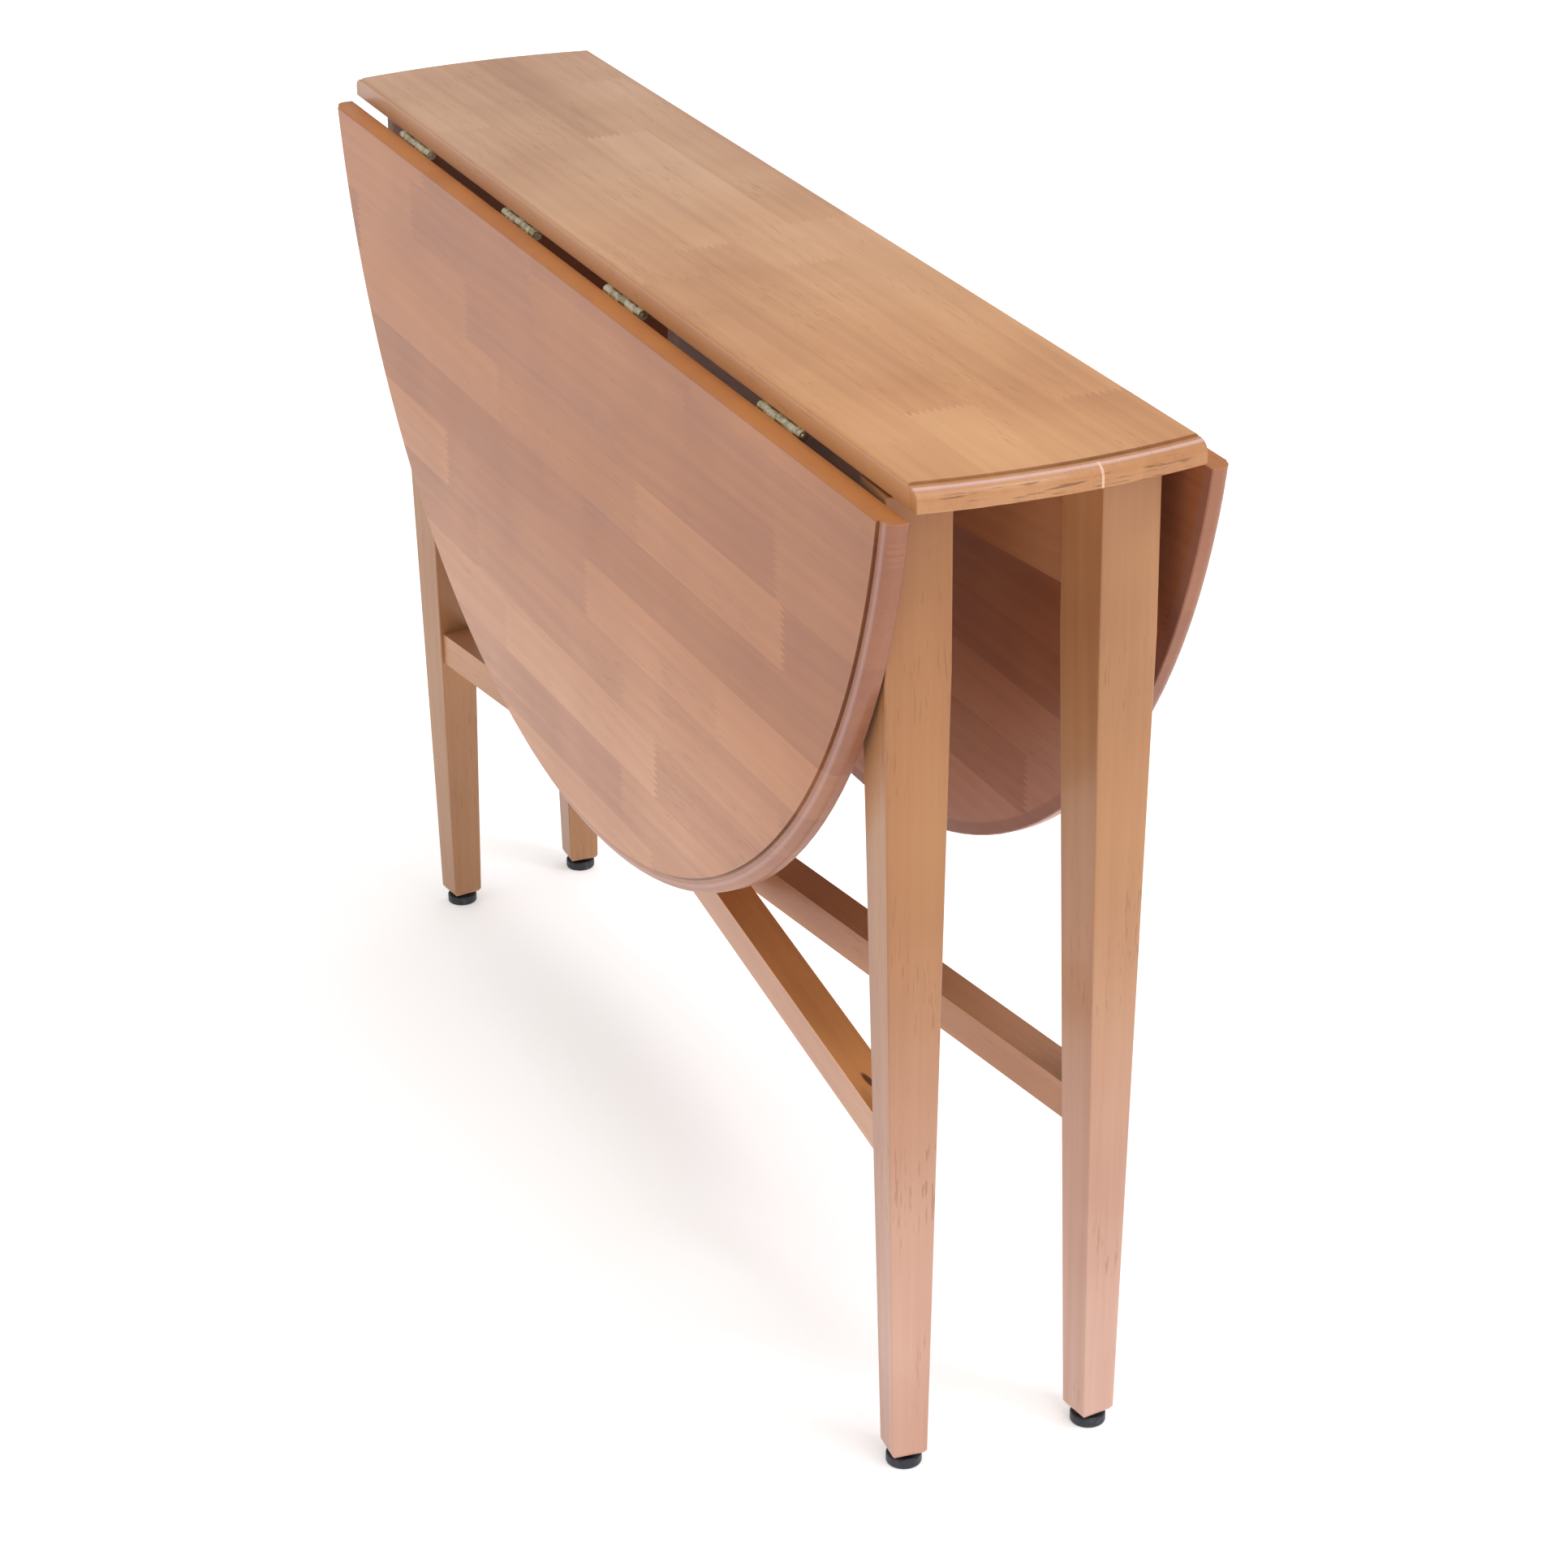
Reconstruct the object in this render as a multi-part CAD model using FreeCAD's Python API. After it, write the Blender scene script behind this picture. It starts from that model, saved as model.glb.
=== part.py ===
import FreeCAD, Part
import math
import os

# Double gateleg table with a round top, leaves down.
# The frame of the part: X along the closed table, Y across it, Z up, origin on the floor
# under the middle of the table. The near side is -Y, the front end is +X.
# All sizes are in millimetres and degrees.

# ---- the top ----
table_height = 740.0
top_radius = 533.0
top_thickness = 17.0
board_width = 200.0
moulding_inset = 12.0
quirk_depth = 1.8
quirk_flat = 1.4
ovolo_height = 8.0
board_edge_round = 3.0
leaf_edge_round = 1.2
under_edge_round = 0.8

# ---- leaf hinges: surface hinges with the pin just under the joint line ----
hinge_pin_drop = 3.9
hinge_joint_gap = 0.5
hinge_centres = [-376.0, -145.0, 59.0, 327.0]
hinge_length = 66.0
hinge_plate_width = 24.0
hinge_plate_thickness = 1.5
hinge_plate_corner = 3.0
barrel_radius = 3.5
barrel_clearance = 0.4
pin_radius = 1.5
pin_running_gap = 0.05
knuckle_gap = 0.3
board_knuckle_length = 9.6
hinge_screw_spacing = 23.0

# ---- screws ----
screw_head_radius = 3.9
screw_head_height = 1.9
screw_shank_radius = 2.0
screw_recess_width = 0.9
screw_recess_length = 5.0
hinge_screw_length = 14.0
gate_screw_length = 16.0
cleat_screw_length = 29.0

# ---- legs and their glides ----
leg_size_top = 45.0
leg_size_foot = 25.5
leg_taper_start = 120.0
leg_foot_bevel = 1.5
leg_foot_bevel_height = 2.5
leg_arris_radius = 1.5
glide_height = 11.0
glide_base_height = 8.0
glide_radius = 12.5
glide_neck_radius = 7.0
glide_edge_round = 1.6
nail_radius = 1.6
nail_head_radius = 4.5
nail_head_height = 2.0
nail_length = 34.0

# ---- fixed frame: two legs, a deep rail, a stretcher and a hinge post in the middle ----
fixed_frame_half_x = 475.0
fixed_frame_half_y = 60.0
rail_thickness = 28.0
fixed_rail_depth = 98.0
stretcher_bottom = 238.0
stretcher_depth = 27.0
hinge_post_width = 68.0

# ---- gates: a leg, a rail, a stretcher and a hinge stile each ----
near_gate_reach = 467.0
far_gate_reach = 494.0
gate_leg_gap = 2.0
gate_rail_gap = 9.0
gate_rail_depth = 89.0
gate_stile_width = 28.0
near_gate_angle = -5.75
far_gate_angle = 176.7
gate_hinge_height = 50.0
gate_hinge_end_knuckle = 15.0
gate_hinge_plate_width = 24.0
gate_hinge_centres = [310.0, 580.0]
gate_hinge_screw_spacing = 26.0
gate_hinge_screw_offset = 15.0

# ---- cleats that fasten the fixed rail to the centre board ----
cleat_size = 18.0
cleat_start = 110.0
cleat_end = 330.0
cleat_up_screw_inset = 30.0
cleat_side_screw_inset = 75.0

# ---- dowels ----
dowel_radius = 4.0
dowel_length = 40.0
rail_dowel_inset = 24.0
post_dowel_spacing = 40.0
stretcher_dowel_radius = 5.0
stile_dowel_depth = 16.0
leg_dowel_depth = 18.0

# ---- derived sizes ----
V = FreeCAD.Vector
X_AXIS = V(1, 0, 0)
Y_AXIS = V(0, 1, 0)
Z_AXIS = V(0, 0, 1)
ORIGIN = V(0, 0, 0)
underside = table_height - top_thickness
board_half = board_width / 2
hinge_y = -(board_half + 0.2)
hinge_z = underside - hinge_pin_drop
half_thickness = rail_thickness / 2
fixed_angle = math.degrees(math.atan2(fixed_frame_half_y, fixed_frame_half_x))
fixed_reach = math.hypot(fixed_frame_half_x, fixed_frame_half_y)
gate_pin_offset = half_thickness + hinge_pin_drop
stretcher_top = stretcher_bottom + stretcher_depth
stretcher_middle = stretcher_bottom + stretcher_depth / 2
fixed_rail_bottom = underside - fixed_rail_depth
gate_leg_top = underside - gate_leg_gap
gate_rail_top = underside - gate_rail_gap
gate_rail_bottom = gate_rail_top - gate_rail_depth

os.makedirs("parts", exist_ok=True)


# ---------------------------------------------------------------- helpers

def save(name, shapes):
    """Writes one node: a single solid, or a group of solids."""
    if isinstance(shapes, list):
        shape = Part.makeCompound(shapes)
    else:
        shape = shapes
    shape.exportStep("parts/" + name + ".step")


def block(x0, x1, y0, y1, z0, z1):
    return Part.makeBox(x1 - x0, y1 - y0, z1 - z0, V(x0, y0, z0))


def turned(shape, angle, axis=Z_AXIS, centre=ORIGIN):
    result = shape.copy()
    result.rotate(centre, axis, angle)
    return result


def moved(shape, x, y, z):
    result = shape.copy()
    result.translate(V(x, y, z))
    return result


def half_turn(shapes):
    """The same pieces on the opposite side of the table."""
    return [turned(shape, 180) for shape in shapes]


def one_solid(shape):
    """Cleans a boolean result that holds a single solid."""
    return shape.removeSplitter().Solids[0]


def cut_all(shape, tools):
    return one_solid(shape.cut(Part.makeCompound(tools)))


def rounded_along_x(bar, radius, wanted_z):
    """Rounds the edges of a box that run along X at one height."""
    edges = []
    for edge in bar.Edges:
        first = edge.Vertexes[0].Point
        last = edge.Vertexes[-1].Point
        along_x = abs(first.y - last.y) < 1e-6 and abs(first.z - last.z) < 1e-6
        if along_x and abs(first.z - wanted_z) < 1e-6:
            edges.append(edge)
    return bar.makeFillet(radius, edges)


def screw(length):
    """A countersunk screw: its head's face is at the origin and it points along +Z."""
    head = Part.makeCone(screw_head_radius, screw_shank_radius, screw_head_height)
    shank = Part.makeCylinder(screw_shank_radius, length - 3 - screw_head_height,
                              V(0, 0, screw_head_height))
    tip = Part.makeCone(screw_shank_radius, 0.4, 3, V(0, 0, length - 3))
    return one_solid(head.fuse([shank, tip]))


def screw_recess():
    """The cross-shaped recess in a screw's head."""
    long_half = screw_recess_length / 2
    narrow_half = screw_recess_width / 2
    first = block(-long_half, long_half, -narrow_half, narrow_half, -0.1, 1.1)
    second = block(-narrow_half, narrow_half, -long_half, long_half, -0.1, 1.1)
    return first.fuse(second)


def place_screw(shape, at, axis, angle):
    """Turns a screw that points up about an axis and moves it to a point."""
    return moved(turned(shape, angle, axis), at.x, at.y, at.z)


# ---------------------------------------------------------------- the top

def moulded_disk():
    """The whole round top as one disk with a quirk and an ovolo around its rim."""
    rim = top_radius
    quirk_z = table_height - quirk_depth
    ovolo_z = quirk_z - ovolo_height
    step_x = rim - moulding_inset
    ovolo_x = step_x + quirk_flat
    reach = rim - ovolo_x
    roundness = 0.5523
    ovolo = Part.BezierCurve()
    ovolo.setPoles([V(rim, 0, ovolo_z),
                    V(rim, 0, ovolo_z + roundness * ovolo_height),
                    V(ovolo_x + roundness * reach, 0, quirk_z),
                    V(ovolo_x, 0, quirk_z)])
    lower = [V(0, 0, table_height), V(0, 0, underside), V(rim - under_edge_round, 0, underside),
             V(rim, 0, underside + under_edge_round), V(rim, 0, ovolo_z)]
    upper = [V(ovolo_x, 0, quirk_z), V(step_x, 0, quirk_z), V(step_x, 0, table_height),
             V(0, 0, table_height)]
    edges = list(Part.makePolygon(lower).Edges)
    edges.append(ovolo.toShape())
    edges.extend(Part.makePolygon(upper).Edges)
    profile = Part.Face(Part.Wire(edges))
    return profile.revolve(ORIGIN, Z_AXIS, 360)


def centre_board(disk):
    bar = block(-top_radius - 10, top_radius + 10, -board_half, board_half,
                underside, table_height)
    bar = rounded_along_x(bar, board_edge_round, table_height)
    bar = rounded_along_x(bar, under_edge_round, underside)
    return one_solid(disk.common(bar))


def open_near_leaf(disk):
    """The near leaf as it lies beside the centre board when it is up."""
    inner_edge = -(board_half + hinge_joint_gap)
    outer_edge = -(top_radius + 10)
    bar = block(-top_radius - 10, top_radius + 10, outer_edge, inner_edge,
                underside, table_height)
    bar = rounded_along_x(bar, leaf_edge_round, table_height)
    bar = rounded_along_x(bar, under_edge_round, underside)
    return one_solid(disk.common(bar))


def hang(shape):
    """Swings a piece of the near leaf down about the near hinge line."""
    return turned(shape, 90, X_AXIS, V(0, hinge_y, hinge_z))


# ---------------------------------------------------------------- leaf hinges

def leaf_knuckle_length():
    free = hinge_length - 3 * board_knuckle_length - 4 * knuckle_gap
    return free / 2


def knuckle_spans():
    """The five knuckles along the barrel, as start and end, from one end to the other."""
    spans = []
    start = -hinge_length / 2
    for index in range(5):
        length = leaf_knuckle_length() if index % 2 else board_knuckle_length
        spans.append((start, start + length))
        start = start + length + knuckle_gap
    return spans


def barrel(x0, x1, radius):
    return Part.makeCylinder(radius, x1 - x0, V(x0, hinge_y, hinge_z), X_AXIS)


def hinge_half(plate_inner_y, plate_outer_y, own_spans, other_spans, bore_radius, corner_y):
    """One leaf of a hinge: a plate with its knuckles, cleared around the other's knuckles."""
    half = hinge_length / 2
    plate = block(-half, half, min(plate_inner_y, plate_outer_y),
                  max(plate_inner_y, plate_outer_y), underside - hinge_plate_thickness, underside)
    corners = [edge for edge in plate.Edges
               if abs(edge.Vertexes[0].Y - corner_y) < 1e-6
               and abs(edge.Vertexes[1].Y - corner_y) < 1e-6
               and abs(edge.Vertexes[0].Z - edge.Vertexes[1].Z) > 1e-6]
    plate = plate.makeFillet(hinge_plate_corner, corners)
    knuckles = [barrel(start, end, barrel_radius) for start, end in own_spans]
    pockets = [barrel(start - knuckle_gap, end + knuckle_gap, barrel_radius + barrel_clearance)
               for start, end in other_spans]
    bore = barrel(-half - 1, half + 1, bore_radius)
    cleared = plate.cut(Part.makeCompound(pockets))
    return one_solid(cleared.fuse(knuckles).cut(bore))


def hinge_screws(y, length):
    """Three screws through one plate of a leaf hinge, pointing up into the wood."""
    screws = []
    for step in (-1, 0, 1):
        at = V(step * hinge_screw_spacing, y, underside - hinge_plate_thickness)
        screws.append(moved(screw(length), at.x, at.y, at.z))
    return screws


def hinge_recesses(y):
    recesses = []
    for step in (-1, 0, 1):
        x = step * hinge_screw_spacing
        recesses.append(moved(screw_recess(), x, y, underside - hinge_plate_thickness))
    return recesses


def finish_screws(screws, recesses):
    return [one_solid(body.cut(recess)) for body, recess in zip(screws, recesses)]


def make_top():
    disk = moulded_disk()
    board = centre_board(disk)
    leaf = open_near_leaf(disk)

    spans = knuckle_spans()
    board_spans = spans[0::2]
    leaf_spans = spans[1::2]
    board_plate_edge = -board_half + hinge_plate_width
    leaf_plate_edge = -board_half - hinge_joint_gap - hinge_plate_width
    board_plate = hinge_half(-board_half, board_plate_edge, board_spans, leaf_spans,
                             pin_radius, board_plate_edge)
    leaf_plate = hinge_half(-board_half - hinge_joint_gap + 0.1, leaf_plate_edge, leaf_spans,
                            board_spans, pin_radius + pin_running_gap, leaf_plate_edge)
    pin = barrel(-hinge_length / 2, hinge_length / 2 + 1.2, pin_radius)

    board_screw_y = -board_half + hinge_plate_width - 9
    leaf_screw_y = leaf_plate_edge + 9
    board_screws = hinge_screws(board_screw_y, hinge_screw_length)
    leaf_screws = hinge_screws(leaf_screw_y, hinge_screw_length)
    board_plate = cut_all(board_plate, board_screws)
    leaf_plate = cut_all(leaf_plate, leaf_screws)
    board_drilling = []
    leaf_drilling = []
    board_screw_group = []
    leaf_screw_group = []
    pins = []
    for number, x in enumerate(hinge_centres, start=1):
        own_board_screws = [moved(item, x, 0, 0) for item in board_screws]
        own_leaf_screws = [moved(item, x, 0, 0) for item in leaf_screws]
        board_recesses = [moved(item, x, 0, 0) for item in hinge_recesses(board_screw_y)]
        leaf_recesses = [moved(item, x, 0, 0) for item in hinge_recesses(leaf_screw_y)]
        board_drilling.extend(own_board_screws)
        leaf_drilling.extend(own_leaf_screws)
        board_screw_group.extend(finish_screws(own_board_screws, board_recesses))
        finished = finish_screws(own_leaf_screws, leaf_recesses)
        leaf_screw_group.extend([hang(item) for item in finished])
        pins.append(moved(pin, x, 0, 0))
        near_board_plate = moved(board_plate, x, 0, 0)
        near_leaf_plate = hang(moved(leaf_plate, x, 0, 0))
        save("near_hinge_%d_board_plate" % number, near_board_plate)
        save("near_hinge_%d_leaf_plate" % number, near_leaf_plate)
        save("far_hinge_%d_board_plate" % number, turned(near_board_plate, 180))
        save("far_hinge_%d_leaf_plate" % number, turned(near_leaf_plate, 180))

    save("near_hinge_pins", pins)
    save("far_hinge_pins", half_turn(pins))
    save("near_hinge_board_screws", board_screw_group)
    save("far_hinge_board_screws", half_turn(board_screw_group))
    save("near_hinge_leaf_screws", leaf_screw_group)
    save("far_hinge_leaf_screws", half_turn(leaf_screw_group))

    near_leaf = hang(cut_all(leaf, leaf_drilling))
    save("near_leaf", near_leaf)
    save("far_leaf", turned(near_leaf, 180))
    return cut_all(board, board_drilling + half_turn(board_drilling))


# ---------------------------------------------------------------- legs and glides

def rounded_square(size, radius, z):
    """A square wire with rounded corners, centred on the Z axis."""
    half = size / 2
    inner = half - radius
    edges = []
    for quarter in range(4):
        angle = math.radians(90 * quarter)
        cosine = math.cos(angle)
        sine = math.sin(angle)

        def at(x, y):
            return V(x * cosine - y * sine, x * sine + y * cosine, z)

        diagonal = inner + radius * math.sqrt(0.5)
        edges.append(Part.LineSegment(at(half, -inner), at(half, inner)).toShape())
        edges.append(Part.Arc(at(half, inner), at(diagonal, diagonal), at(inner, half)).toShape())
    return Part.Wire(edges)


def leg(top_z):
    """A square leg, straight beside the rail and tapered on all four sides below it."""
    foot_arris = leg_arris_radius * leg_size_foot / leg_size_top
    sections = [(leg_size_foot - 2 * leg_foot_bevel, foot_arris, glide_height),
                (leg_size_foot, foot_arris, glide_height + leg_foot_bevel_height),
                (leg_size_top, leg_arris_radius, underside - leg_taper_start),
                (leg_size_top, leg_arris_radius, top_z)]
    wires = [rounded_square(size, radius, z) for size, radius, z in sections]
    return Part.makeLoft(wires, True, True)


def glide():
    """A round plastic glide: a thick disk with a neck that stands under the leg."""
    base = Part.makeCylinder(glide_radius, glide_base_height)
    base = base.makeFillet(glide_edge_round, base.Edges)
    neck = Part.makeCylinder(glide_neck_radius, glide_height - glide_base_height,
                             V(0, 0, glide_base_height))
    return one_solid(base.fuse(neck))


def nail():
    """The nail that is moulded into a glide and driven into the leg."""
    head = Part.makeCylinder(nail_head_radius, nail_head_height, V(0, 0, nail_head_height))
    shank = Part.makeCylinder(nail_radius, nail_length - nail_head_height,
                              V(0, 0, nail_head_height))
    return one_solid(head.fuse(shank))


def drilled_leg(top_z, dowels):
    return cut_all(leg(top_z), dowels + [nail()])


# ---------------------------------------------------------------- fixed frame

def along_x_dowel(radius, x0, length, y, z):
    return Part.makeCylinder(radius, length, V(x0, y, z), X_AXIS)


def upright_dowel(x, z_middle):
    return Part.makeCylinder(dowel_radius, dowel_length, V(x, 0, z_middle - dowel_length / 2))


def in_fixed_frame(shapes):
    """Turns pieces built along X to the direction of the fixed frame."""
    return [turned(shape, fixed_angle) for shape in shapes]


def fixed_end_dowels():
    """The dowels between the front leg of the fixed frame and its rail and stretcher."""
    rail_end = fixed_reach - leg_size_top / 2
    dowels = []
    for z in (fixed_rail_bottom + rail_dowel_inset, underside - rail_dowel_inset):
        dowels.append(along_x_dowel(dowel_radius, rail_end - dowel_length / 2, dowel_length, 0, z))
    start = fixed_reach + leg_dowel_depth - dowel_length - leg_size_foot / 2
    dowels.append(along_x_dowel(stretcher_dowel_radius, start, dowel_length, 0, stretcher_middle))
    return dowels


def make_fixed_frame(board):
    front_dowels = fixed_end_dowels()
    rear_dowels = half_turn(front_dowels)
    post_dowels = []
    for x in (-post_dowel_spacing / 2, post_dowel_spacing / 2):
        post_dowels.append(upright_dowel(x, stretcher_top))
        post_dowels.append(upright_dowel(x, fixed_rail_bottom))
    all_dowels = front_dowels + rear_dowels + post_dowels

    front_leg = moved(leg(underside), fixed_reach, 0, 0)
    front_nail = moved(nail(), fixed_reach, 0, 0)
    front_glide = cut_all(moved(glide(), fixed_reach, 0, 0), [front_nail])
    rail_half = fixed_reach - leg_size_top / 2
    rail = block(-rail_half, rail_half, -half_thickness, half_thickness,
                 fixed_rail_bottom, underside)
    stretcher = block(-fixed_reach, fixed_reach, -half_thickness, half_thickness,
                      stretcher_bottom, stretcher_top)
    stretcher = cut_all(stretcher, [front_leg, turned(front_leg, 180)] + all_dowels)
    front_leg = cut_all(front_leg, front_dowels + [front_nail])
    post = block(-hinge_post_width / 2, hinge_post_width / 2, -half_thickness, half_thickness,
                 stretcher_top, fixed_rail_bottom)

    hinge_set = fixed_side_of_gate_hinges()
    plates, pins, plate_screws, plate_recesses = hinge_set
    post = cut_all(post, all_dowels + plate_screws + half_turn(plate_screws))

    cleat, cleat_screws, cleat_recesses = rail_cleat()
    far_cleat_screws = half_turn(cleat_screws)
    rail = cut_all(rail, all_dowels + cleat_screws + far_cleat_screws)
    cleat = cut_all(cleat, cleat_screws)
    finished_cleat_screws = finish_screws(cleat_screws, cleat_recesses)
    board_drilling = in_fixed_frame(cleat_screws + far_cleat_screws)

    save("centre_board", cut_all(board, board_drilling))
    save("front_right_leg", turned(front_leg, fixed_angle))
    save("rear_left_leg", turned(front_leg, fixed_angle + 180))
    save("front_right_glide", turned(front_glide, fixed_angle))
    save("rear_left_glide", turned(front_glide, fixed_angle + 180))
    save("fixed_glide_nails", in_fixed_frame([front_nail, turned(front_nail, 180)]))
    save("fixed_rail", turned(rail, fixed_angle))
    save("fixed_stretcher", turned(stretcher, fixed_angle))
    save("gate_hinge_post", turned(post, fixed_angle))
    save("fixed_frame_dowels", in_fixed_frame(all_dowels))
    save("near_cleat", turned(cleat, fixed_angle))
    save("far_cleat", turned(cleat, fixed_angle + 180))
    save("cleat_screws", in_fixed_frame(finished_cleat_screws + half_turn(finished_cleat_screws)))
    save("near_gate_hinge_post_plates", in_fixed_frame(plates))
    save("far_gate_hinge_post_plates", in_fixed_frame(half_turn(plates)))
    save("gate_hinge_pins", in_fixed_frame(pins + half_turn(pins)))
    finished = finish_screws(plate_screws, plate_recesses)
    save("gate_hinge_post_screws", in_fixed_frame(finished + half_turn(finished)))


def rail_cleat():
    """The near cleat with its screws: two up into the board and two into the rail."""
    cleat = block(-cleat_end, -cleat_start, -half_thickness - cleat_size, -half_thickness,
                  underside - cleat_size, underside)
    middle_y = -half_thickness - cleat_size / 2
    middle_z = underside - cleat_size / 2
    screws = []
    recesses = []
    for x in (-cleat_end + cleat_up_screw_inset, -cleat_start - cleat_up_screw_inset):
        at = V(x, middle_y, underside - cleat_size)
        screws.append(place_screw(screw(cleat_screw_length), at, X_AXIS, 0))
        recesses.append(place_screw(screw_recess(), at, X_AXIS, 0))
    for x in (-cleat_end + cleat_side_screw_inset, -cleat_start - cleat_side_screw_inset):
        at = V(x, -half_thickness - cleat_size, middle_z)
        screws.append(place_screw(screw(cleat_screw_length), at, X_AXIS, -90))
        recesses.append(place_screw(screw_recess(), at, X_AXIS, -90))
    return cleat, screws, recesses


# ---------------------------------------------------------------- gate hinges

def upright_cylinder(z0, z1, radius, x=0.0, y=0.0):
    return Part.makeCylinder(radius, z1 - z0, V(x, y, z0))


def gate_hinge_spans():
    """Bottom and top of each hinge's two end knuckles and of its middle knuckle."""
    half = gate_hinge_height / 2
    inner = half - gate_hinge_end_knuckle
    ends = [(-half, -inner), (inner, half)]
    middle = [(-inner + knuckle_gap, inner - knuckle_gap)]
    return ends, middle


def gate_hinge_half(plate, own_spans, other_spans, bore_radius, z_middle):
    """One leaf of a gate hinge, about a pin on the Z axis."""
    knuckles = [upright_cylinder(z_middle + low, z_middle + high, barrel_radius)
                for low, high in own_spans]
    pockets = [upright_cylinder(z_middle + low - knuckle_gap, z_middle + high + knuckle_gap,
                                barrel_radius + barrel_clearance)
               for low, high in other_spans]
    half = gate_hinge_height / 2
    bore = upright_cylinder(z_middle - half - 1, z_middle + half + 1, bore_radius)
    cleared = plate.cut(Part.makeCompound(pockets))
    return one_solid(cleared.fuse(knuckles).cut(bore))


def fixed_side_of_gate_hinges():
    """The near gate's hinge plates, pins and screws on the near face of the hinge post."""
    ends, middle = gate_hinge_spans()
    half = gate_hinge_height / 2
    plates = []
    pins = []
    screws = []
    recesses = []
    for z in gate_hinge_centres:
        plate = block(-gate_hinge_plate_width, -0.2, hinge_pin_drop - hinge_plate_thickness,
                      hinge_pin_drop, z - half, z + half)
        plate = gate_hinge_half(plate, ends, middle, pin_radius, z)
        plates.append(moved(plate, 0, -gate_pin_offset, 0))
        pins.append(upright_cylinder(z - half, z + half + 1.2, pin_radius, 0, -gate_pin_offset))
        for step in (-0.5, 0.5):
            at = V(-gate_hinge_screw_offset, -half_thickness - hinge_plate_thickness,
                   z + step * gate_hinge_screw_spacing)
            screws.append(place_screw(screw(gate_screw_length), at, X_AXIS, -90))
            recesses.append(place_screw(screw_recess(), at, X_AXIS, -90))
    plates = [cut_all(plate, screws) for plate in plates]
    return plates, pins, screws, recesses


# ---------------------------------------------------------------- gates
# A gate is built with its hinge pin on the Z axis. It reaches along +X, and its back, which
# faces the fixed frame, is the plane Y = 0.

def gate_dowels(reach):
    rail_end = reach - leg_size_top / 2
    stile_face = hinge_pin_drop + gate_stile_width
    dowels = []
    for z in (gate_rail_bottom + rail_dowel_inset, gate_rail_top - rail_dowel_inset):
        dowels.append(along_x_dowel(dowel_radius, rail_end - dowel_length / 2, dowel_length,
                                    -half_thickness, z))
        dowels.append(along_x_dowel(dowel_radius, stile_face - stile_dowel_depth, dowel_length,
                                    -half_thickness, z))
    start = reach + leg_dowel_depth - dowel_length - leg_size_foot / 2
    dowels.append(along_x_dowel(stretcher_dowel_radius, start, dowel_length,
                                -half_thickness, stretcher_middle))
    dowels.append(along_x_dowel(stretcher_dowel_radius, stile_face - stile_dowel_depth,
                                dowel_length, -half_thickness, stretcher_middle))
    return dowels


def gate_side_of_hinges():
    """The hinge plates on the end of the stile, with their screws."""
    ends, middle = gate_hinge_spans()
    half = gate_hinge_height / 2
    plates = []
    screws = []
    recesses = []
    for z in gate_hinge_centres:
        plate = block(hinge_pin_drop - hinge_plate_thickness, hinge_pin_drop,
                      -gate_hinge_plate_width, -0.2, z - half, z + half)
        plates.append(gate_hinge_half(plate, middle, ends, pin_radius + pin_running_gap, z))
        for step in (-0.5, 0.5):
            at = V(hinge_pin_drop - hinge_plate_thickness, -gate_hinge_screw_offset,
                   z + step * gate_hinge_screw_spacing)
            screws.append(place_screw(screw(gate_screw_length), at, Y_AXIS, 90))
            recesses.append(place_screw(screw_recess(), at, Y_AXIS, 90))
    plates = [cut_all(plate, screws) for plate in plates]
    return plates, screws, recesses


def make_gate(side, leg_name, pin_x, pin_y, angle, reach):
    dowels = gate_dowels(reach)
    stile_face = hinge_pin_drop + gate_stile_width
    rail_end = reach - leg_size_top / 2
    plates, screws, recesses = gate_side_of_hinges()
    own_leg = moved(leg(gate_leg_top), reach, -half_thickness, 0)
    own_nail = moved(nail(), reach, -half_thickness, 0)
    own_glide = cut_all(moved(glide(), reach, -half_thickness, 0), [own_nail])
    stile = block(hinge_pin_drop, stile_face, -rail_thickness, 0,
                  stretcher_bottom, gate_rail_top)
    rail = block(stile_face, rail_end, -rail_thickness, 0, gate_rail_bottom, gate_rail_top)
    stretcher = block(stile_face, reach, -rail_thickness, 0,
                      stretcher_bottom, stretcher_top)

    def in_place(shape):
        return moved(turned(shape, angle), pin_x, pin_y, 0)

    save(leg_name + "_leg", in_place(cut_all(own_leg, dowels + [own_nail])))
    save(leg_name + "_glide", in_place(own_glide))
    save(side + "_gate_glide_nail", in_place(own_nail))
    save(side + "_gate_stile", in_place(cut_all(stile, dowels + screws)))
    save(side + "_gate_rail", in_place(cut_all(rail, dowels)))
    save(side + "_gate_stretcher", in_place(cut_all(stretcher, dowels + [own_leg])))
    save(side + "_gate_dowels", [in_place(item) for item in dowels])
    save(side + "_gate_hinge_plates", [in_place(item) for item in plates])
    finished = finish_screws(screws, recesses)
    save(side + "_gate_hinge_screws", [in_place(item) for item in finished])


near_pin_x = gate_pin_offset * math.sin(math.radians(fixed_angle))
near_pin_y = -gate_pin_offset * math.cos(math.radians(fixed_angle))
make_fixed_frame(make_top())
make_gate("near", "front_left", near_pin_x, near_pin_y, near_gate_angle, near_gate_reach)
make_gate("far", "rear_right", -near_pin_x, -near_pin_y, far_gate_angle, far_gate_reach)
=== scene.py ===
import math

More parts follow.
